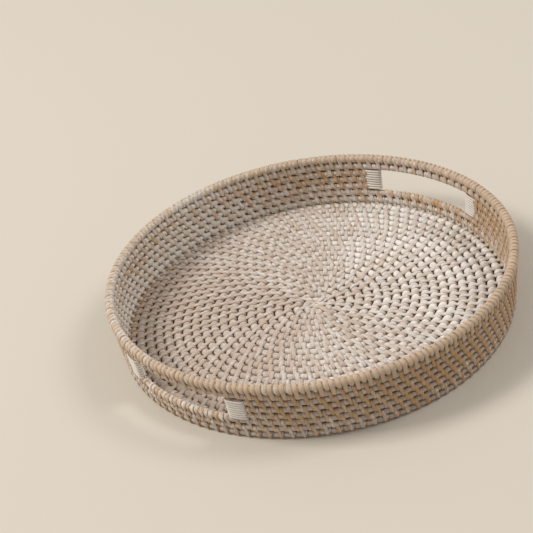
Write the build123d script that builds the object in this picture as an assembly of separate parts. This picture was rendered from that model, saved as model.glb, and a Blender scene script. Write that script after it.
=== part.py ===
from build123d import *
import os
from math import asin, atan2, degrees, hypot

# A round coiled rattan serving tray, in millimetres. +Z is up, the origin is at the centre of the
# footprint on the table, and the two handles are at +X and -X.

# Driving dimensions
OUTER_DIAMETER = 356.0        # over the bound rim
FOOT_RADIUS = 169.0           # centre line of the coil that the tray stands on
HANDLE_WIDTH = 98.0           # clear width between the two posts of a handle
POST_WIDTH = 17.0             # bound post at each end of a handle
WALL_CORE_R = 2.85            # rattan core in the wall
FLOOR_CORE_R = 3.3            # rattan core in the floor
RIM_CORE_R = 3.6              # thicker core that finishes the rim
FLOOR_PITCH = 8.2             # from one turn of the floor to the next
FLOOR_TURNS = 19
FLOOR_LIFT = 0.9              # the floor's core over the foot's, so that it stays clear of the table
STRIP_T = 0.5                 # split rattan strip
STRIP_W = 3.4
WALL_STITCHES = 116           # stitches round each row of the wall
POST_TURNS = 8                # turns of strip up each post
POST_STRIP_T = 0.8
POST_END_GAP = 0.3            # between a post and the rows under and over it
FIT = 0.05                    # between a strip and what it lies against
WALL_ROWS = 6                 # rows between the foot and the rim
SILL_ROW = 2                  # the row under each handle opening
LIFT_ROW = WALL_ROWS          # the row over each handle opening, bound to the rim
FOOT_FLAT = 0.15              # worn off the underside of the foot's binding
BUTTON_ROUNDING = 1.4         # edge of the button that the floor is wound round
TAIL_HEIGHT = 5.9             # shaved end of the floor's core
TAIL_LEFT_OFF = 65            # degrees of that end which are too thin to keep
HALF_TURN_STITCHES = 48       # in the outer turns of the floor
FULL_STITCH_RADIUS = 110.0    # inside this radius every other stitch is left out, and so on inwards
FEWEST_STITCHES = 6
STAGGER = 0.25                # share of a step that a turn's stitches are moved by

# Derived sizes
BOUND_WALL_R = WALL_CORE_R + FIT + STRIP_T
BOUND_FLOOR_R = FLOOR_CORE_R + FIT + STRIP_T
BOUND_RIM_R = RIM_CORE_R + FIT + STRIP_T
ROW_PITCH = 2 * BOUND_WALL_R
FOOT_WRAP_R = BOUND_WALL_R + 2 * FIT  # outer radius of the close binding on the foot coil
FOOT_Z = FOOT_WRAP_R - FOOT_FLAT
FIRST_ROW_Z = FOOT_Z + FOOT_WRAP_R + BOUND_WALL_R
FLOOR_Z = FOOT_Z + FLOOR_LIFT
RIM_RADIUS = OUTER_DIAMETER / 2 - BOUND_RIM_R
RIM_Z = FIRST_ROW_Z + (WALL_ROWS - 1) * ROW_PITCH + BOUND_WALL_R + BOUND_RIM_R

# Where things stop round the tray, as angles from the middle of a handle
OPENING_HALF = degrees(asin(HANDLE_WIDTH / 2 / RIM_RADIUS))
POST_SPAN = degrees(POST_WIDTH / RIM_RADIUS)
ROW_END = OPENING_HALF + POST_SPAN

# The floor is a spiral of half circles struck from two centres
SPIRAL_CENTRE = FLOOR_PITCH / 4
FLOOR_EDGE = FOOT_RADIUS - FOOT_WRAP_R - FIT
LAST_HALF_TURN = FLOOR_EDGE - BOUND_FLOOR_R - SPIRAL_CENTRE
FIRST_HALF_TURN = LAST_HALF_TURN - FLOOR_PITCH / 2 - (FLOOR_TURNS - 1) * FLOOR_PITCH
FLOOR_LENGTHS = {"inner": (1, 6), "middle": (7, 13), "outer": (14, 19)}

HALVES = (0, 180)             # where the halves of the spiral and of the wall start, and the handles


def wall_radius(z):
    """Centre line radius of the wall at a height: it leans out from the foot to the rim."""
    return FOOT_RADIUS + (RIM_RADIUS - FOOT_RADIUS) * (z - FOOT_Z) / (RIM_Z - FOOT_Z)


def row_z(row):
    if row > WALL_ROWS:
        return RIM_Z
    return FIRST_ROW_Z + (row - 1) * ROW_PITCH


def row_core_r(row):
    return RIM_CORE_R if row > WALL_ROWS else WALL_CORE_R


def write(name, *solids):
    shape = solids[0] if len(solids) == 1 else Compound(list(solids))
    export_step(shape, os.path.join("parts", name + ".step"), write_pcurves=False)


def hoop(radius, z, core_r):
    """One closed row of core."""
    return Pos(0, 0, z) * Torus(radius, core_r)


def bow(radius, z, core_r, start, end):
    """A row of core that stops at both ends, from one angle round to another."""
    section = Plane.XZ * Pos(radius, z) * Circle(core_r)
    return Rot(0, 0, start) * revolve(section, Axis.Z, end - start)


def belt(near, near_r, far, far_r):
    """A stitch: a flat strip round two cores, whose centres are given as (radius, height)."""
    apart = hypot(far[0] - near[0], far[1] - near[1])
    tilt = degrees(atan2(far[1] - near[1], far[0] - near[0]))

    def outline(clear):
        if near_r == far_r:
            return Pos(apart / 2, 0) * SlotCenterToCenter(apart, 2 * (near_r + clear))
        cores = Sketch() + Circle(near_r + clear) + Pos(apart, 0) * Circle(far_r + clear)
        return make_hull(cores.edges())

    band = outline(FIT + STRIP_T) - outline(FIT)
    flat = Plane.XZ * Pos(near[0], near[1]) * Rot(0, 0, tilt) * band
    return extrude(flat, STRIP_W / 2, both=True).solid()


def short_wrap(radius, z, core_r):
    """A turn of strip round a single core."""
    band = Circle(core_r + FIT + STRIP_T) - Circle(core_r + FIT)
    return extrude(Plane.XZ * Pos(radius, z) * band, STRIP_W / 2, both=True).solid()


def turned(solid, angles):
    return [Rot(0, 0, angle) * solid for angle in angles]


def handle_distance(angle):
    """Angle from the middle of the nearer handle."""
    return abs((angle + 90) % 180 - 90)


# The floor


def half_turn_radius(turn, half):
    return FIRST_HALF_TURN + (turn - 1) * FLOOR_PITCH + (FLOOR_PITCH / 2 if half else 0)


def half_centre(half):
    """Where one half of the spiral is struck from: the half at +Y first, then the one at -Y."""
    return SPIRAL_CENTRE if half else -SPIRAL_CENTRE


def floor_coil(first, last):
    """One length of core, wound from turn first to turn last."""
    path = []
    for turn in range(first, last + 1):
        for half in HALVES:
            arc = CenterArc((half_centre(half), 0), half_turn_radius(turn, half), half, 180)
            path.append(arc)
    start = half_centre(0) + half_turn_radius(first, 0)
    section = Plane.XZ * Pos(start, 0) * Circle(FLOOR_CORE_R)
    return Pos(0, 0, FLOOR_Z) * sweep(section, Wire(path)).solid()


def stitch_count(radius):
    """Stitches in half a turn of the floor: twice as many each time the turns are twice as long."""
    count = HALF_TURN_STITCHES
    reach = FULL_STITCH_RADIUS
    while radius < reach and count > FEWEST_STITCHES:
        count //= 2
        reach /= 2
    return count


def floor_stitch_angles(turn, half):
    """Places of the stitches that bind one turn to the next, staggered against the turn inside."""
    inner = half_turn_radius(turn, half)
    count = stitch_count(inner)
    step = 180 / count
    offset = STAGGER if turn % 2 else 1 - STAGGER
    angles = [(i + offset) * step for i in range(count)]
    if turn == 1 or stitch_count(inner - FLOOR_PITCH) == count:
        return angles
    clear = degrees((STRIP_W + 4 * FIT) / inner)
    before = floor_stitch_angles(turn - 1, half)
    return [a for a in angles if all(abs(a - b) > clear for b in before)]


def floor_binding(first, last):
    """Every stitch from turn first to turn last, each holding its turn to the next one out."""
    stitches = []
    for turn in range(first, last + 1):
        for half in HALVES:
            near = half_turn_radius(turn, half)
            stitch = belt((near, 0), FLOOR_CORE_R, (near + FLOOR_PITCH, 0), FLOOR_CORE_R)
            for angle in floor_stitch_angles(turn, half):
                place = Pos(half_centre(half), 0, FLOOR_Z) * Rot(0, 0, half + angle)
                stitches.append(place * stitch)
    return stitches


def coil_start():
    """The tight button of core that the spiral is wound round."""
    radius = FIRST_HALF_TURN - FLOOR_CORE_R - FIT
    button = Cylinder(radius, 2 * FLOOR_CORE_R)
    button = fillet(button.edges().filter_by(GeomType.CIRCLE), BUTTON_ROUNDING)
    return Pos(half_centre(0), 0, FLOOR_Z) * button


def coil_tail():
    """The shaved end of the core, which fills the crescent between the last turn and the foot."""
    edge = FLOOR_EDGE - FIT
    half_plane = Pos(0, edge) * Rectangle(4 * edge, 2 * edge)
    crescent = Sketch()
    for half in HALVES:
        inside = half_turn_radius(FLOOR_TURNS, half) + BOUND_FLOOR_R + FIT
        ring = Circle(edge) - Pos(half_centre(half), 0) * Circle(inside)
        crescent += ring & (Rot(0, 0, half) * half_plane)
    thin_end = (Rot(0, 0, 180) * half_plane) & (Rot(0, 0, -TAIL_LEFT_OFF) * half_plane)
    return extrude(Pos(0, 0, FLOOR_Z) * (crescent - thin_end), TAIL_HEIGHT / 2, both=True)


# The wall


def foot_wrap():
    """The close binding of the foot coil, worn flat where the tray stands."""
    sleeve = Torus(FOOT_RADIUS, FOOT_WRAP_R) - Torus(FOOT_RADIUS, WALL_CORE_R + FIT)
    worn = Pos(0, 0, -FOOT_Z - FOOT_WRAP_R) * Cylinder(OUTER_DIAMETER, 2 * FOOT_WRAP_R)
    return Pos(0, 0, FOOT_Z) * (sleeve - worn)


def wall_stitch_angles(row):
    """Places of the stitches from a row to the one above, staggered from row to row."""
    step = 360 / WALL_STITCHES
    offset = 0.5 if row % 2 else 0.0
    angles = [(i + offset) * step for i in range(WALL_STITCHES)]
    if row < SILL_ROW or row >= LIFT_ROW:
        return angles
    nearest = ROW_END + degrees(STRIP_W / FOOT_RADIUS)
    return [a for a in angles if handle_distance(a) > nearest]


def row_binding(row):
    """Every stitch from a row of the wall to the one above it."""
    low = (wall_radius(row_z(row)), row_z(row))
    high = (wall_radius(row_z(row + 1)), row_z(row + 1))
    stitch = belt(low, row_core_r(row), high, row_core_r(row + 1))
    return turned(stitch, wall_stitch_angles(row))


def rim_wraps():
    """Short turns of strip on the rim, one between each two stitches."""
    step = 360 / WALL_STITCHES
    angles = [(i + 0.5) * step for i in range(WALL_STITCHES)]
    return turned(short_wrap(RIM_RADIUS, RIM_Z, RIM_CORE_R), angles)


def sill_wraps(handle):
    """Short turns of strip on the row under a handle opening."""
    step = 360 / WALL_STITCHES
    reach = int(OPENING_HALF / step)
    angles = [handle + i * step for i in range(-reach, reach + 1)]
    z = row_z(SILL_ROW)
    return turned(short_wrap(wall_radius(z), z, WALL_CORE_R), angles)


# The posts at the ends of the handle openings

POST_FOOT = row_z(SILL_ROW) + BOUND_WALL_R + FIT
POST_TOP = row_z(LIFT_ROW) - BOUND_WALL_R - FIT
POST_HEIGHT = POST_TOP - POST_FOOT


def post_frame(angle):
    """The middle of a post: local X is outwards, Z is up the leaning wall."""
    middle = (POST_FOOT + POST_TOP) / 2
    lean = degrees(atan2(wall_radius(POST_TOP) - wall_radius(POST_FOOT), POST_HEIGHT))
    return Rot(0, 0, angle) * Pos(wall_radius(middle), 0, middle) * Rot(0, lean, 0)


def oval(length, width):
    """An outline with round ends, its length along local Y."""
    return Rot(0, 0, 90) * SlotOverall(length, width)


def post_core(angle):
    """The upright that closes the ends of the cut rows."""
    length = POST_WIDTH - 2 * POST_STRIP_T - 2 * FIT
    section = oval(length, 2 * WALL_CORE_R)
    return post_frame(angle) * extrude(section, POST_HEIGHT / 2 - POST_END_GAP, both=True)


def post_wrap(angle):
    """The turns of strip laid flat, one above the other, round a post."""
    outside = oval(POST_WIDTH - FIT, 2 * (WALL_CORE_R + POST_STRIP_T))
    inside = oval(POST_WIDTH - 2 * POST_STRIP_T - FIT, 2 * WALL_CORE_R + FIT)
    turn_height = (POST_HEIGHT - 2 * POST_END_GAP) / POST_TURNS
    turn = extrude(outside - inside, (turn_height - FIT) / 2, both=True)
    turns = []
    for i in range(POST_TURNS):
        up = (i + 0.5 - POST_TURNS / 2) * turn_height
        turns.append(post_frame(angle) * Pos(0, 0, up) * turn)
    return turns


def build_floor():
    write("coil_start", coil_start())
    for length, (first, last) in FLOOR_LENGTHS.items():
        write("floor_coil_" + length, floor_coil(first, last))
        bound_to = min(last, FLOOR_TURNS - 1)
        write("floor_binding_" + length, *floor_binding(first, bound_to))
    write("coil_tail", coil_tail())


def build_wall():
    write("foot_coil", hoop(FOOT_RADIUS, FOOT_Z, WALL_CORE_R))
    write("foot_wrap", foot_wrap())
    for row in range(1, WALL_ROWS + 1):
        z = row_z(row)
        name = f"wall_row_{row}"
        if SILL_ROW < row < LIFT_ROW:
            for half, side in zip(HALVES, ("back", "front")):
                start, end = half + ROW_END, half + 180 - ROW_END
                write(f"{name}_{side}", bow(wall_radius(z), z, WALL_CORE_R, start, end))
        else:
            write(name, hoop(wall_radius(z), z, WALL_CORE_R))
        binding = "rim_stitches" if row == WALL_ROWS else f"row_{row}_stitches"
        write(binding, *row_binding(row))
    write("rim_rod", hoop(RIM_RADIUS, RIM_Z, RIM_CORE_R))
    write("rim_wraps", *rim_wraps())


def build_handles():
    middle_of_post = OPENING_HALF + POST_SPAN / 2
    for handle, side in zip(HALVES, ("right", "left")):
        write(f"sill_wraps_{side}", *sill_wraps(handle))
        for end, way in (("a", -1), ("b", 1)):
            angle = handle + way * middle_of_post
            write(f"post_core_{side}_{end}", post_core(angle))
            write(f"post_wrap_{side}_{end}", *post_wrap(angle))


os.makedirs("parts", exist_ok=True)
build_floor()
build_wall()
build_handles()
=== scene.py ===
from collections import namedtuple
from math import acos, atan2, cos, pi, radians, sin, tau

import bpy
import numpy as np
from mathutils import Matrix, Vector


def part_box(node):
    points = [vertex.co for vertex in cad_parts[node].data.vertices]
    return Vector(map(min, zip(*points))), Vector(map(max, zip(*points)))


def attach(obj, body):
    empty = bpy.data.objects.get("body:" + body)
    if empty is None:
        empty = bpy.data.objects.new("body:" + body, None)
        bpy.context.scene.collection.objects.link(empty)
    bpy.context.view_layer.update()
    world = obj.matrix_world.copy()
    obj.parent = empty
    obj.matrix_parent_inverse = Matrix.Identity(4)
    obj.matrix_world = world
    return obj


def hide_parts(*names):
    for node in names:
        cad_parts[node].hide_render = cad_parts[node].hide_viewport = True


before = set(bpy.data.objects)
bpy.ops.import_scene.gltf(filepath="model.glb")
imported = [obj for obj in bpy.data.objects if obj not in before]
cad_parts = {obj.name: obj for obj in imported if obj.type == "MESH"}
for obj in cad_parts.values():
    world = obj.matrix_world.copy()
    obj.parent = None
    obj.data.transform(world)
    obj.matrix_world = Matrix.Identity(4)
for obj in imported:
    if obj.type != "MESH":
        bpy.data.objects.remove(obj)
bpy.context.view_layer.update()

# A coiled rattan serving tray. Every length is in metres and comes from the frame or from these.
MM = 0.001
FLOOR_TURNS = 19
FLOOR_STITCH = 8.8 * MM       # from one stitch to the next along a turn of the floor, at the least
WALL_STITCHES = 116           # round each row of the wall
FLOOR_STAGGER = 0.6           # from a stitch to the one beside it in the next turn, and in the next row,
WALL_STAGGER = 0.57           # as a share of a stitch
FLOOR_HOLD = 0.4              # how closely a stitch of the floor keeps to that place, from 0 to 1
STRAY = 0.03                  # how far a stitch of the wall strays from there, as a share of a stitch
BARE = 0.45                   # how much of a stitch may stay bare at the end of a cut row

SUNK = 0.75 * MM              # how far a strip is pulled into its core
CLEAR = 0.1 * MM              # how far a core stays inside the strips that pinch it
SAMPLE = 1.3 * MM             # from one section of a core to the next
LEAST_SECTIONS = 8
CORE_SIDES = 12

TAIL_TURNS = 0.97             # the floor's core ends in a tail, shaved to TAIL_END within a turn
TAIL_END = 0.1 * MM
THIN_TAIL = 0.35              # the tail is no longer stitched once it is thinner than this share
CURL = 0.8                    # how far the core curls in from the first turn, as a share of the way
CURL_DIPS = 12
BUTTON = 1.4 * MM             # what the first turn is stitched to: radius of its centre line,
BUTTON_CORE = 1.5 * MM        # and of its core

POST_TURNS = 8                # turns of strip round a post
POST_CORNERS = 20             # corners in each of them
POST_SIDES = 24               # sides of the rod inside
POST_COVER = 0.92             # width of the strip, as a share of the way from one turn to the next
POST_FLAT = 1.6               # how flat a post's oval is on its faces: 1 is not at all
POST_GIRTH = 15 * MM          # about how far it is round a post

# How a strip is wound round two cores: how far it advances between them inside, outside and in a whole
# turn, as shares of the way to the next stitch; its widths; its thickness at the crown; how far it is
# raised where it starts; and how far it sags between the cores.
Winding = namedtuple("Winding", "inside outside whole width outside_width thick lap sag")
FLOOR = Winding(0.18, 0.66, 1.0, 4.3 * MM, 3.6 * MM, 1.65 * MM, 0.6 * MM, 0.5 * MM)
WALL = Winding(0.36, 0.15, 1.0, 4.5 * MM, 3.3 * MM, 1.25 * MM, 0.7 * MM, 0.8 * MM)
BINDING = Winding(0.20, 0.10, 0.5, 3.9 * MM, 3.9 * MM, 1.28 * MM, 0.5 * MM, 0.2 * MM)
BINDING_SHORT = 0.3           # how far the rim's short turn advances, and where that turn is inside the
BINDING_START = 0.6           # rim, as shares of the way to the next stitch
LAP_FALL = 1.4                # how soon a raised strip is down: after 1 / LAP_FALL of the way across
DRAWN = 0.75                  # how wide and thick a strip stays where it is drawn in between the cores
UNEVEN = 0.06                 # how much the strips' widths differ, as a share

# How far a core swells between two strips, sideways and up, as shares of its radius.
Bead = namedtuple("Bead", "sideways up")
FLOOR_BEAD = Bead(0.45, 0.36)
WALL_BEAD = Bead(0.36, 0.23)
LIFT_BEAD = Bead(0.45, 0.55)
FLATTER_BEHIND = 0.5          # how much less it swells on the side behind

# Exposure, for painted shade: from 0, painted as in full shade between the cores, to 1 in the open.
SWELL_SHOWS = 0.25            # how much of a core's exposure is due to its swelling
VALLEY_HIDES = 0.2            # how much is hidden halfway between two cores,
NEAR_HIDES = 0.8              # and on the near side of a strip that goes round the far core alone
EDGE_SHOWS = 0.15             # exposure of a strip's edges, as a share of its crown's
ROD_SHOWS = 0.3               # exposure of the rod inside a post

# Whitewash, as shares of a full coat: on a core; on a strip inside at the near and at the far core, and
# outside; on the rim's and the sills' short turns; and on the posts' strips and rods.
CORE_WASH = 0.6
NEAR_WASH, FAR_WASH, OUTSIDE_WASH = 1.2, 0.9, 0.6
SHORT_WASH = 0.8
POST_WASH, ROD_WASH = 0.9, 0.8
RUBBED = 0.9                  # how much of it is rubbed off at the rim
WASHED_AND_LIT_SIDE = radians(137)    # where it is thicker on the wall and thinner on the floor, by the amounts below: partly uneven paint, partly painted light on the wall and painted shade on the floor
WALL_WASH_AND_LIGHT, FLOOR_WASH_AND_SHADE = 0.3, -0.7
SWEEP_WASH, SWEEPS = 0.1, 5   # how much it comes and goes, and how often round the tray

GRAINS = 90                   # how far apart pieces lie in the grain, at the most

Row = namedtuple("Row", "radius z core")
random = np.random.default_rng(7)


# What the frame says


def hoop(node, axis=0):
    """Centre line radius, height and core radius of a row of the wall, read along X or Y."""
    low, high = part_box(node)
    core = (high.z - low.z) / 2
    return Row(high[axis] - core, (high.z + low.z) / 2, core)


rows = [hoop(node) for node in ("foot_coil", "wall_row_1", "wall_row_2")]
rows += [hoop(f"wall_row_{row}_back", axis=1) for row in (3, 4, 5)]
rows += [hoop("wall_row_6"), hoop("rim_rod")]
SILL, LIFT, RIM = 2, 6, 7
CUT_ROWS = (3, 4, 5)
# The floor's pieces, each with the turns where it starts and ends.
FLOOR_PARTS = (("inner", 0, 6), ("middle", 6, 13), ("outer", 13, FLOOR_TURNS))

CUT_ANGLE = acos(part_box("wall_row_3_back")[1].x / (rows[3].radius + rows[3].core))
post_low, post_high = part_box("post_core_right_b")
POST_ANGLE = atan2(post_low.y + post_high.y, post_low.x + post_high.x)
OPENING_ANGLE = 2 * POST_ANGLE - CUT_ANGLE

coil_low, coil_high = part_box("floor_coil_outer")
turns_apart = FLOOR_TURNS - FLOOR_PARTS[0][2]
FLOOR_PITCH = (coil_high.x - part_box("floor_coil_inner")[1].x) / turns_apart
FLOOR_CORE = (coil_high.z - coil_low.z) / 2
FLOOR_Z = (coil_high.z + coil_low.z) / 2
FLOOR_LAST = coil_high.x - FLOOR_CORE
FLOOR_FIRST = FLOOR_LAST - FLOOR_TURNS * FLOOR_PITCH
FLOOR_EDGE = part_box("coil_tail")[1].x


def floor_coil(turns):
    """The floor's core after that many turns: a spiral, then a turn that thins out against the foot."""
    tail = np.clip(turns - FLOOR_TURNS, 0, 1)
    spiral = FLOOR_FIRST + FLOOR_PITCH * np.minimum(turns, FLOOR_TURNS)
    radius = spiral + (FLOOR_EDGE - FLOOR_LAST) * tail
    return Row(radius, np.full_like(radius, FLOOR_Z), FLOOR_CORE * (1 - tail) + TAIL_END * tail)


def wall_row(number):
    """A row of the wall, in the same form as floor_coil."""
    row = rows[number]
    return lambda turns: Row(*(np.full_like(turns, value) for value in row))


def inside_of_foot(turns):
    """What the foot is stitched to: the floor's tail while it is thick enough, then the last turn."""
    tail = floor_coil(FLOOR_TURNS + turns % 1)
    last = floor_coil(FLOOR_TURNS - 1 + turns % 1)
    thick = tail.core > THIN_TAIL * FLOOR_CORE
    return Row(*(np.where(thick, a, b) for a, b in zip(tail, last)))


# Where the stitches are, in turns round the tray


def floor_places():
    """Stitches along the spiral. Each is drawn to the nearest place beside a stitch of the turn inside,
    so that one more comes in wherever the stitches have grown too wide."""
    places = [0.0]
    while places[-1] < FLOOR_TURNS - THIN_TAIL:
        radius = FLOOR_FIRST + FLOOR_PITCH * places[-1]
        place = places[-1] + FLOOR_STITCH / (tau * radius)
        if place > 1:
            after = np.searchsorted(places, place - 1)
            around = np.array(places[max(after - 2, 0):after + 2])
            beside = around[:-1] + FLOOR_STAGGER * np.diff(around) + 1
            nearest = beside[np.argmin(np.abs(beside - place))]
            place += FLOOR_HOLD * (nearest - place)
        places.append(place)
    return np.array(places)


def ring_places(row, start=0.0, end=1.0):
    """Stitches from a row of the wall to the one above, staggered from row to row."""
    places = (np.arange(-WALL_STITCHES, 2 * WALL_STITCHES) + row * WALL_STAGGER % 1) / WALL_STITCHES
    places = places[(places >= start) & (places < end)]
    return places + random.normal(0, STRAY / WALL_STITCHES, len(places))


# Meshes


def to_space(radius, z, turns):
    """Radius, height and turns round the tray, as points."""
    angle = tau * turns
    return np.stack([radius * np.cos(angle), radius * np.sin(angle), z], axis=-1)


def unit(vectors):
    """The same directions, with length 1."""
    return vectors / np.linalg.norm(vectors, axis=-1, keepdims=True)


def tube_faces(along, around, closed):
    """Quads of a tube whose vertices run round each section, section after section."""
    steps = along if closed else along - 1
    i, j = np.meshgrid(np.arange(steps), np.arange(around), indexing="ij")
    here, there, turn = i * around, (i + 1) % along * around, (j + 1) % around
    faces = np.stack([here + j, there + j, there + turn, here + turn], axis=-1)
    return faces.reshape(-1, 4).tolist()


def add_tubes(name, tubes, material, replaced):
    """One piece out of tubes, each (vertices, weave, shade, closed), with vertices (along, around, 3).
    weave is a point's place in the grain and shade how unshaded it is (painted shade where low), how
    toned and how whitewashed it is."""
    vertices, faces, start = [], [], 0
    for points, _, _, closed in tubes:
        along, around = points.shape[:2]
        quads = tube_faces(along, around, closed)
        if not closed:
            quads.append(list(range(around)))
            quads.append([(along - 1) * around + j for j in reversed(range(around))])
        faces += [[start + corner for corner in face] for face in quads]
        vertices.append(points.reshape(-1, 3))
        start += along * around
    mesh = bpy.data.meshes.new(name)
    mesh.from_pydata(np.concatenate(vertices).tolist(), [], faces)
    for label, index in (("weave", 1), ("shade", 2)):
        values = np.concatenate([tube[index].reshape(-1, 3) for tube in tubes])
        layer = mesh.attributes.new(label, "FLOAT_VECTOR", "POINT")
        layer.data.foreach_set("vector", np.ascontiguousarray(values, np.float32).ravel())
    mesh.shade_smooth()
    mesh.materials.append(material)
    piece = bpy.data.objects.new(name, mesh)
    bpy.context.collection.objects.link(piece)
    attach(piece, "root")
    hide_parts(*replaced)
    return piece


def core_tube(coil, start, end, dips, bead, closed=False):
    """A core from start to end, in turns. It is pinched at dips, where strips cross it, and swells
    between, less on the side behind: the outside of the wall and the underside of the floor."""
    length = tau * float(np.max(coil(np.array([start, end], float)).radius)) * (end - start)
    count = max(LEAST_SECTIONS, int(length / SAMPLE))
    turns = np.linspace(start, end, count, endpoint=not closed)
    row = coil(turns)
    after = np.clip(np.searchsorted(dips, turns), 1, len(dips) - 1)
    share = (turns - dips[after - 1]) / (dips[after] - dips[after - 1])
    bulge = np.sqrt(np.abs(np.sin(pi * np.clip(share, 0, 1))))
    side = tau * np.arange(CORE_SIDES) / CORE_SIDES
    upright = bead is not FLOOR_BEAD
    behind = np.clip(np.cos(side) if upright else -np.sin(side), 0, 1)
    pinched = (row.core - SUNK - CLEAR)[:, None]
    swelled = (row.core * bulge)[:, None] * (1 - FLATTER_BEHIND * behind)
    outwards = pinched + swelled * bead.sideways
    upwards = pinched + swelled * bead.up
    vertices = to_space(
        row.radius[:, None] + outwards * np.cos(side),
        row.z[:, None] + upwards * np.sin(side),
        turns[:, None] + 0 * side,
    )
    along = tau * (turns - start) * row.radius / MM
    across = side * float(np.mean(row.core)) / MM
    weave = np.stack(np.broadcast_arrays(along[:, None], across, random.uniform(0, GRAINS)), axis=-1)
    # painted shade: darker on the sides that face the next core and where it is pinched, lighter on its
    # bulges
    facing = np.abs(np.cos(side)) if upright else np.abs(np.sin(side))
    unshaded = SWELL_SHOWS * bulge[:, None] + (1 - SWELL_SHOWS) * facing
    # the whitewash carries painted light on one side of the wall and painted shade beside it on the
    # floor
    wash = CORE_WASH * (1 - behind) + washed_and_lit(turns, row.radius)[:, None]
    shade = np.stack(np.broadcast_arrays(unshaded, random.uniform(), wash), axis=-1)
    return vertices, weave, shade, closed


def strip_width(winding, direction):
    """A strip's width, which changes from inside to outside as it twists."""
    inside = (1 + np.sin(np.radians(direction))) / 2
    return winding.outside_width + (winding.width - winding.outside_width) * inside


def belt_turn(winding, rim=False):
    """One turn of strip round two cores, as rows of: which core (0 near, 1 far), direction from it in
    degrees (180 back past the near core, 90 inside, 0 past the far core, -90 outside), advance, how far
    it is raised, how unshaded it is (painted shade where low), wash, width and thickness. A rim is the
    last core, so its far side shows."""
    round_core = (winding.whole - winding.inside - winding.outside) / 2
    outside = winding.inside / 2 + round_core
    points = []
    for direction in (180, 150, 120):
        points.append((0, direction, -winding.inside / 2 - round_core * (direction - 90) / 180))
    for core in (0, 1 / 4, 1 / 2, 3 / 4, 1):
        points.append((core, 90, winding.inside * (core - 0.5)))
    for direction in (60, 30, 0, -30, -60):
        points.append((1, direction, winding.inside / 2 + round_core * (90 - direction) / 180))
    for core in (1, 3 / 4, 1 / 2, 1 / 4, 0):
        points.append((core, -90, outside + winding.outside * (1 - core)))
    for direction in (-120, -150):
        points.append((0, direction, outside + winding.outside - round_core * (90 + direction) / 180))
    core, direction, advance = np.array(points).T
    inside = direction > 0
    facing = np.where((core == 1) & rim, 1, np.abs(np.sin(np.radians(direction))))
    valley = np.sin(pi * core) ** 2
    lapped = np.where(inside, winding.lap * np.clip(1 - LAP_FALL * core, 0, 1) * facing, 0)
    raised = lapped - winding.sag * valley
    # painted shade: darker where the strip turns in between the cores, and halfway between them
    unshaded = facing * (1 - VALLEY_HIDES * valley)
    wash = np.where(inside, NEAR_WASH + (FAR_WASH - NEAR_WASH) * core, OUTSIDE_WASH)
    drawn = DRAWN + (1 - DRAWN) * facing
    width, thick = strip_width(winding, direction) * drawn, winding.thick * drawn
    return np.stack([core, direction, advance, raised, unshaded, wash, width, thick], axis=-1)


def short_turn(winding, start, whole):
    """One turn of strip round the far core alone, in the same form. It is inside at start."""
    direction = np.arange(180.0, -180, -30)
    advance = start + whole * (90 - direction) / 360
    towards_near = np.clip(-np.cos(np.radians(direction)), 0, 1)
    raised = winding.lap * towards_near
    # painted shade on the side towards the near core
    unshaded = 1 - NEAR_HIDES * towards_near**2
    width = strip_width(winding, direction)
    columns = (1, direction, advance, raised, unshaded, SHORT_WASH, width, winding.thick)
    return np.stack(np.broadcast_arrays(*columns), axis=-1)


def long_and_short_turn():
    """A turn round both cores, then one round the far core alone: how the rim is bound."""
    short = short_turn(BINDING, BINDING_START, BINDING_SHORT)
    return np.concatenate([belt_turn(BINDING, rim=True), short])


def washed_and_lit(turns, radius):
    """How much thicker the whitewash is: on one side of the wall, partly painted light, and on the other
    side of the floor, so that the floor is darker towards the wall on that side, partly painted shade.
    """
    thicker = np.where(radius < FLOOR_EDGE, FLOOR_WASH_AND_SHADE * radius / FLOOR_EDGE, WALL_WASH_AND_LIGHT)
    return thicker * np.cos(tau * turns - WASHED_AND_LIT_SIDE) + SWEEP_WASH * np.sin(SWEEPS * tau * turns + 1)


def worn(z):
    """How much whitewash has been rubbed off towards the rim."""
    return RUBBED * z / rows[RIM].z


def section(width, thick):
    """A strip's section: flat against the core, round on top, as across and out for each corner."""
    across = np.array([-0.46, 0.46, 0.5, 0.38, 0.14, -0.14, -0.38, -0.5])
    out = np.array([0, 0, 0.35, 0.78, 1, 1, 0.78, 0.35])
    return np.multiply.outer(width, across), np.multiply.outer(thick, out)


def strip_tube(points, normals, width, thick, shade, closed):
    """A strip laid along points, with its round side towards normals."""
    if closed:
        tangents = np.roll(points, -1, 0) - np.roll(points, 1, 0)
    else:
        tangents = np.gradient(points, axis=0)
    sideways = unit(np.cross(tangents, normals))
    outwards = unit(np.cross(sideways, tangents))
    across, out = section(width, thick)
    vertices = points[:, None] + across[..., None] * sideways[:, None]
    vertices += out[..., None] * outwards[:, None]
    step = np.linalg.norm(np.diff(points, axis=0, prepend=points[:1]), axis=-1)
    along = np.cumsum(step)[:, None] / MM
    weave = np.stack(np.broadcast_arrays(along, across / MM, random.uniform(0, GRAINS)), axis=-1)
    shades = np.repeat(shade[:, None], across.shape[1], axis=1)
    # painted shade at a strip's edges, where it meets the core and the next strip
    shades[..., 0] *= EDGE_SHOWS + (1 - EDGE_SHOWS) * out / out.max(axis=1, keepdims=True)
    return vertices, weave, shades, closed


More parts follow.
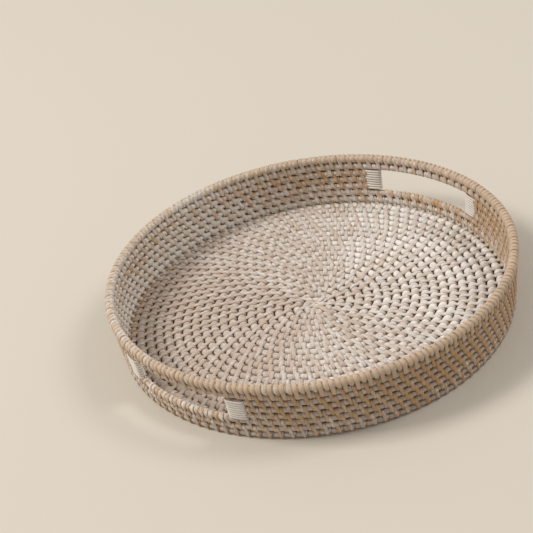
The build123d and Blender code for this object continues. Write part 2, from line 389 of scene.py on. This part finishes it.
def wind(near, far, places, turn, closed=False):
    """A strip wound round two cores, one turn at each place. The last place only ends it."""
    after = np.append(places[1:], places[0] + 1) if closed else places[1:]
    before = places if closed else places[:-1]
    core, direction, advance, raised, unshaded, wash, width, thick = turn.T
    turns = before[:, None] + advance * (after - before)[:, None]
    a, b = near(turns), far(turns)
    apart_r, apart_z = b.radius - a.radius, b.z - a.z
    apart = np.hypot(apart_r, apart_z)
    u_r, u_z = apart_r / apart, apart_z / apart
    way = np.radians(direction)
    out_r = np.cos(way) * u_r - np.sin(way) * u_z
    out_z = np.cos(way) * u_z + np.sin(way) * u_r
    off = a.core + (b.core - a.core) * core - SUNK + raised
    radius, z = a.radius + apart_r * core + off * out_r, a.z + apart_z * core + off * out_z
    points = to_space(radius, z, turns)
    angle = tau * turns
    normals = np.stack([out_r * np.cos(angle), out_r * np.sin(angle), out_z], axis=-1)
    loops = len(before)
    widths = width * random.normal(1, UNEVEN, loops)[:, None]
    tone = random.uniform(0, 1, loops)[:, None]
    # the whitewash carries painted light on one side of the wall and painted shade beside it on the
    # floor
    paint = wash + washed_and_lit(turns, a.radius) - worn(a.z)
    shade = np.stack(np.broadcast_arrays(unshaded, tone, paint), axis=-1)
    flat = (points.reshape(-1, 3), normals.reshape(-1, 3), widths.ravel(), np.tile(thick, loops))
    return strip_tube(*flat, shade.reshape(-1, 3), closed)


# The floor


def turn_outside(turns):
    """The next turn of the floor's core, beside those turns."""
    return floor_coil(turns + 1)


def floor_dips(places):
    """Where strips cross the top of the floor's core: each turn's own, and those of the turn inside."""
    shift = FLOOR.inside / 2 * np.gradient(places)
    return np.sort(np.concatenate([places - shift, places + 1 + shift]))


def make_floor(looks, places):
    """The floor's core in its lengths, each with its strip, and the tail."""
    dips = floor_dips(places)
    for part, first, end in FLOOR_PARTS:
        tubes = [core_tube(floor_coil, first, end, dips, FLOOR_BEAD)]
        add_tubes(f"{part}_floor_core", tubes, looks["core"], [f"floor_coil_{part}"])
        chosen = places[(places >= first) & (places <= end)]
        tubes = [wind(floor_coil, turn_outside, chosen, belt_turn(FLOOR))]
        add_tubes(f"{part}_floor_strip", tubes, looks["floor"], [f"floor_binding_{part}"])
    tail = core_tube(floor_coil, FLOOR_TURNS, FLOOR_TURNS + TAIL_TURNS, dips, FLOOR_BEAD)
    add_tubes("floor_core_tail", [tail], looks["core"], ["coil_tail"])


def centre(turns):
    """What the first turn is stitched to: a button in the middle, which the core curls round."""
    return Row(*(np.full_like(turns, value) for value in (BUTTON, FLOOR_Z, BUTTON_CORE)))


def make_centre(looks, places):
    """The start of the coil: the core curls in, under strips that meet in the middle."""
    curl = -FLOOR_FIRST / FLOOR_PITCH
    tube = core_tube(floor_coil, CURL * curl, 0, np.linspace(-1, 1, CURL_DIPS), FLOOR_BEAD)
    add_tubes("coil_curl", [tube], looks["core"], ["coil_start"])
    places = np.append(places[places < 1], 1.0)
    tube = wind(centre, floor_coil, places, belt_turn(FLOOR))
    add_tubes("centre_strip", [tube], looks["floor"], ["coil_start"])


# The wall


def bows():
    """The two bows that the handle openings leave of a cut row, in turns."""
    cut = CUT_ANGLE / tau
    return (("back", cut, 0.5 - cut), ("front", 0.5 + cut, 1 - cut))


def row_dips(row):
    """Where strips cross the inside of a row, with some to spare at both ends: its own stitches and
    those of the row below. The row over the openings is pinched by its own alone, all the way round."""
    places = np.arange(-2, WALL_STITCHES + 3) + row * WALL_STAGGER % 1
    if row == LIFT:
        return (places - BINDING.inside / 2) / WALL_STITCHES
    own, below = places - WALL.inside / 2, places - WALL_STAGGER + WALL.inside / 2
    return np.sort(np.concatenate([own, below])) / WALL_STITCHES


def bow_places(row, start, end):
    """The stitches of a cut row, with one more against a post where they would leave the row bare."""
    stitch = 1 / WALL_STITCHES
    places = ring_places(row, start, end).tolist()
    if places[0] > start + BARE * stitch:
        places.insert(0, start)
    if places[-1] < end - BARE * stitch:
        places.append(end)
    return np.array(places + [places[-1] + stitch])


def make_wall(looks):
    """The rows of core, from the foot to the rim."""
    for number in range(RIM + 1):
        coil, dips = wall_row(number), row_dips(number)
        if number in CUT_ROWS:
            for side, start, end in bows():
                tube = core_tube(coil, start, end, dips, WALL_BEAD)
                name = f"row_{number}_core_{side}"
                add_tubes(name, [tube], looks["core"], [f"wall_row_{number}_{side}"])
        else:
            node = {0: "foot_coil", RIM: "rim_rod"}.get(number, f"wall_row_{number}")
            bead = LIFT_BEAD if number == LIFT else WALL_BEAD
            tube = core_tube(coil, 0, 1, dips, bead, closed=True)
            add_tubes(f"{node}_core", [tube], looks["core"], [node])


def make_wall_strips(looks):
    """The strips that hold each row to the one below, and the binding of the rim."""
    turn = belt_turn(WALL)
    foot_strip = wind(inside_of_foot, wall_row(0), ring_places(-1), turn, closed=True)
    first = wind(wall_row(0), wall_row(1), ring_places(0), turn, closed=True)
    add_tubes("foot_strips", [foot_strip, first], looks["wall"], ["foot_wrap"])
    for number in range(1, LIFT):
        near, far = wall_row(number), wall_row(number + 1)
        if number < SILL:
            tubes = [wind(near, far, ring_places(number), belt_turn(WALL, rim=True), closed=True)]
        else:
            tubes = [wind(near, far, bow_places(number, start, end), turn) for _, start, end in bows()]
        add_tubes(f"row_{number}_strip", tubes, looks["wall"], [f"row_{number}_stitches"])
    tube = wind(wall_row(LIFT), wall_row(RIM), ring_places(LIFT), long_and_short_turn(), closed=True)
    add_tubes("rim_strip", [tube], looks["rim"], ["rim_stitches", "rim_wraps"])


# The handles


def make_sill_wraps(looks):
    """Short turns on the sill under each opening, one between every two stitches of the row below."""
    reach = OPENING_ANGLE / tau
    round_core = WALL.whole - WALL.inside - WALL.outside
    turn = short_turn(WALL, WALL.inside / 2 + 0.5, round_core)
    for side, middle in (("right", 0.0), ("left", 0.5)):
        places = ring_places(SILL - 1, middle - reach, middle + reach)
        tube = wind(wall_row(SILL - 1), wall_row(SILL), places, turn)
        add_tubes(f"sill_strip_{side}", [tube], looks["wall"], [f"sill_wraps_{side}"])


Post = namedtuple("Post", "middle along outwards rise wide thick height")


def spread(node, direction):
    """How far a node reaches along a direction, either way from its middle."""
    points = np.array([vertex.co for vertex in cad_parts[node].data.vertices]) @ np.array(direction)
    return (points.max() - points.min()) / 2


def read_post(node):
    """A post's middle, its directions along the wall, out of it and up, its half sizes and height."""
    low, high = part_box(node)
    middle = (low + high) / 2
    flat = Vector((middle.x, middle.y, 0)).normalized()
    along = Vector((-flat.y, flat.x, 0))
    lean = (rows[LIFT].radius - rows[SILL].radius) / (rows[LIFT].z - rows[SILL].z)
    rise = (Vector((0, 0, 1)) + lean * flat).normalized()
    outwards = along.cross(rise)
    thick = spread(node, outwards)
    wide = spread(node, along) - thick
    return Post(*map(np.array, (middle, along, outwards, rise)), wide, thick, 2 * spread(node, rise))


def round_post(post, turn, up, inset):
    """Points on the oval round a post, that far up it and inside its faces, and the ways they face."""
    angle = tau * turn[..., None]
    facing = np.cos(angle) * post.along + np.sin(angle) * post.outwards
    flat = np.clip(POST_FLAT * np.cos(angle), -1, 1) * post.wide * post.along
    return post.middle + flat + facing * (post.thick - inset) + up[..., None] * post.rise, facing


def post_strip(post):
    """The strip round a post: a helix from the sill up to the row over the opening."""
    pitch = post.height / POST_TURNS
    count = POST_TURNS * POST_CORNERS + 1
    share = np.linspace(0, 1, count)
    points, normals = round_post(post, share * POST_TURNS, (share - 0.5) * post.height, WALL.thick)
    tone = np.repeat(random.uniform(0, 1, POST_TURNS + 1), POST_CORNERS)[:count]
    shade = np.stack(np.broadcast_arrays(1.0, tone, POST_WASH), axis=-1)
    width, thick = np.full(count, POST_COVER * pitch), np.full(count, WALL.thick)
    return strip_tube(points, normals, width, thick, shade, False)


def post_core(post):
    """The pieces of core that a post's strip holds together, as one oval rod."""
    ends = np.array([[-0.5], [0.5]]) * post.height
    turn, up = np.broadcast_arrays(np.arange(POST_SIDES) / POST_SIDES, ends)
    vertices, _ = round_post(post, turn, up, WALL.thick)
    grain, tone = 5.0, 0.5
    weave = np.stack(np.broadcast_arrays(up / MM, POST_GIRTH / MM * turn, grain), axis=-1)
    # painted shade: the rod inside a post is darkened as if in shade
    shade = np.broadcast_to([ROD_SHOWS, tone, ROD_WASH], vertices.shape)
    return vertices, weave, shade, False


def make_posts(looks):
    """The bound posts, one at each end of each opening."""
    for side in ("right_a", "right_b", "left_a", "left_b"):
        post = read_post(f"post_wrap_{side}")
        strip, rod = [post_strip(post)], [post_core(post)]
        add_tubes(f"post_strip_{side}", strip, looks["rim"], [f"post_wrap_{side}"])
        add_tubes(f"post_rod_{side}", rod, looks["core"], [f"post_core_{side}"])


# Materials


def add_node(tree, kind, inputs, **settings):
    """A shader node with its settings, and with a value or a link for each of the inputs named."""
    made = tree.nodes.new(kind)
    for name, value in settings.items():
        setattr(made, name, value)
    for name, value in inputs.items():
        if isinstance(value, bpy.types.NodeSocket):
            tree.links.new(value, made.inputs[name])
        else:
            made.inputs[name].default_value = value
    return made


def mixed(tree, factor, first, second, blend="MIX"):
    """A mix of two colours, which are inputs 6 and 7 of a mix node, as the colour that it makes is 2."""
    inputs = {0: factor, 6: first, 7: second}
    return add_node(tree, "ShaderNodeMix", inputs, data_type="RGBA", blend_type=blend).outputs[2]


def maths(tree, operation, first, second, third=0.0):
    """A sum, product or the like. Only MULTIPLY_ADD has a third part, which it adds."""
    inputs = {0: first, 1: second, 2: third}
    return add_node(tree, "ShaderNodeMath", inputs, operation=operation).outputs[0]


def ramp(tree, value, low, high):
    """value from low to high, smoothly from 0 to 1."""
    inputs = {0: value, 1: low, 2: high}
    return add_node(tree, "ShaderNodeMapRange", inputs, interpolation_type="SMOOTHSTEP").outputs[0]


def noise(tree, vector, scale, detail, stretch):
    """Noise that is finer the more it is stretched: along the grain, across it and between pieces."""
    scaled = add_node(tree, "ShaderNodeVectorMath", {0: vector, 1: stretch}, operation="MULTIPLY")
    inputs = {"Vector": scaled.outputs[0], "Scale": scale, "Detail": detail}
    return add_node(tree, "ShaderNodeTexNoise", inputs).outputs[0]


# How much the fibres, the blotches and a strip's own tone count when paint wears off, how worn it is
# where cane begins to show and where it is bare, and how open a place is where the painted shade begins
# and where it covers everything.
FIBRES_WEAR, BLOTCHES_WEAR, TONE_WEAR = 0.7, 0.6, 0.22
CANE_BEGINS, CANE_BARE = 0.25, 0.75
PAINTED_SHADE_BEGINS, PAINTED_SHADE_COVERS = 0.75, 0.1
DARKEST_TONE, TONES = 0.92, 0.16         # brightness of the darkest strip, and what is added up to the
DARKEST_FIBRE, FIBRE_TONES = 0.88, 0.24  # lightest; and the same for the fibres
SMOOTHEST, ROUGHER = 0.5, 0.3            # roughness, least and added
FINE_RELIEF, RELIEF = 0.4, 0.15 * MM     # share of the finer fibres in the relief, and its height


def rattan(name, wash, bare, painted_shade, fibre_scale, cover):
    """Whitewashed rattan. wash is the paint and bare the cane under it; the third colour is painted
    shade, laid between the cores and at the strips' edges; fibre_scale is how many fibres lie side by
    side in a millimetre, and cover how well the paint hides the cane where it is thick."""
    material = bpy.data.materials.new(name)
    material.use_nodes = True
    tree = material.node_tree
    shader = tree.nodes["Principled BSDF"]
    weave = add_node(tree, "ShaderNodeAttribute", {}, attribute_name="weave").outputs["Vector"]
    shade = add_node(tree, "ShaderNodeAttribute", {}, attribute_name="shade").outputs["Vector"]
    unshaded, tone, paint = add_node(tree, "ShaderNodeSeparateXYZ", {0: shade}).outputs
    fibres = noise(tree, weave, 1.0, 4, stretch=(0.12, fibre_scale, 1))
    blotches = noise(tree, weave, 0.25, 3, stretch=(1, 1, 3))
    fine = noise(tree, weave, 1.0, 2, stretch=(0.5, 3 * fibre_scale, 1))
    wear = maths(tree, "MULTIPLY", blotches, BLOTCHES_WEAR)
    wear = maths(tree, "MULTIPLY_ADD", fibres, FIBRES_WEAR, wear)
    wear = maths(tree, "MULTIPLY_ADD", tone, TONE_WEAR, wear)
    wear = maths(tree, "SUBTRACT", wear, maths(tree, "MULTIPLY", paint, cover))
    colour = mixed(tree, ramp(tree, wear, CANE_BEGINS, CANE_BARE), wash, bare)
    value = maths(tree, "MULTIPLY_ADD", tone, TONES, DARKEST_TONE)
    value = maths(tree, "MULTIPLY", value, maths(tree, "MULTIPLY_ADD", fine, FIBRE_TONES, DARKEST_FIBRE))
    bright = add_node(tree, "ShaderNodeCombineXYZ", {0: value, 1: value, 2: value}).outputs[0]
    colour = mixed(tree, 1.0, colour, bright, "MULTIPLY")
    # painted shade: the colour goes over to the shade colour where a place is little exposed
    colour = mixed(tree, ramp(tree, unshaded, PAINTED_SHADE_BEGINS, PAINTED_SHADE_COVERS), colour, painted_shade)
    tree.links.new(colour, shader.inputs["Base Color"])
    rough = maths(tree, "MULTIPLY_ADD", fibres, ROUGHER, SMOOTHEST)
    tree.links.new(rough, shader.inputs["Roughness"])
    height = maths(tree, "MULTIPLY_ADD", fine, FINE_RELIEF, fibres)
    bump = add_node(tree, "ShaderNodeBump", {"Height": height, "Strength": 0.5, "Distance": RELIEF})
    tree.links.new(bump.outputs[0], shader.inputs["Normal"])
    return material


def make_looks():
    """The materials, which differ in how brown the cane is and how well the paint covers it."""
    wash = (0.70, 0.66, 0.60, 1)
    # painted shade: the colour laid where cores and strips would shade each other
    painted_shade = (0.24, 0.14, 0.08, 1)
    return {
        "core": rattan("whitewashed_core", (0.76, 0.73, 0.69, 1), (0.42, 0.34, 0.28, 1), painted_shade, 1.6, 0.45),
        "floor": rattan("floor_strip", (0.70, 0.67, 0.63, 1), (0.43, 0.34, 0.27, 1), painted_shade, 2.4, 0.2),
        "wall": rattan("wall_strip", wash, (0.40, 0.25, 0.13, 1), painted_shade, 2.4, 0.36),
        "rim": rattan("rim_strip", wash, (0.48, 0.36, 0.25, 1), painted_shade, 2.4, 0.6),
    }


# The room, the light and the camera


def make_ground_and_sky():
    """A pale floor, larger than the picture, and even light from all sides."""
    ground = bpy.data.materials.new("pale_floor")
    ground.use_nodes = True
    shader = ground.node_tree.nodes["Principled BSDF"]
    shader.inputs["Base Color"].default_value = (0.57, 0.53, 0.46, 1)
    shader.inputs["Roughness"].default_value = 0.9
    bpy.ops.mesh.primitive_plane_add(size=12)
    plane = bpy.context.object
    plane.name = "ground"
    plane.data.materials.append(ground)
    world = bpy.data.worlds.new("soft_room")
    world.use_nodes = True
    world.node_tree.nodes["Background"].inputs[0].default_value = (1.0, 0.96, 0.92, 1)
    world.node_tree.nodes["Background"].inputs[1].default_value = 0.55
    bpy.context.scene.world = world


def add_light(name, place, size, power, colour):
    """A square lamp that is turned to the tray."""
    lamp = bpy.data.lights.new(name, "AREA")
    lamp.size, lamp.energy, lamp.color = size, power, colour
    light = bpy.data.objects.new(name, lamp)
    light.location = place
    light.rotation_euler = (Vector((0, 0, 0)) - Vector(place)).to_track_quat("-Z", "Y").to_euler()
    bpy.context.collection.objects.link(light)


def add_camera():
    """The camera: how far round and above the tray it stands, how it is turned on its own axis, and how
    far it is moved aside and up, as shares of its distance."""
    azimuth, elevation, roll = radians(-132.9), radians(32.7), radians(-11.4)
    distance, aside, above = 7 * rows[RIM].radius, 0.0296, 0.0039
    lens, sensor = 96.0, 36.0
    back = Vector((cos(elevation) * cos(azimuth), cos(elevation) * sin(azimuth), sin(elevation)))
    level = Vector((-sin(azimuth), cos(azimuth), 0))
    upright = back.cross(level)
    right = level * cos(roll) + upright * sin(roll)
    up = upright * cos(roll) - level * sin(roll)
    place = Vector((0, 0, rows[RIM].z)) + distance * (back - aside * right - above * up)
    camera = bpy.data.objects.new("camera", bpy.data.cameras.new("camera"))
    camera.data.lens, camera.data.sensor_width = lens, sensor
    turned = Matrix((right, up, back)).transposed().to_4x4()
    camera.matrix_world = Matrix.Translation(place) @ turned
    bpy.context.collection.objects.link(camera)
    bpy.context.scene.camera = camera


looks = make_looks()
stitches = floor_places()
make_floor(looks, stitches)
make_centre(looks, stitches)
make_wall(looks)
make_wall_strips(looks)
make_sill_wraps(looks)
make_posts(looks)
make_ground_and_sky()
add_light("key", (-1.6, 2.0, 3.1), 1.3, 108, (1.0, 0.95, 0.90))
add_light("fill", (2.0, -1.6, 3.2), 1.5, 48, (1.0, 0.97, 0.94))
add_camera()
bpy.context.scene.view_settings.view_transform = "Standard"
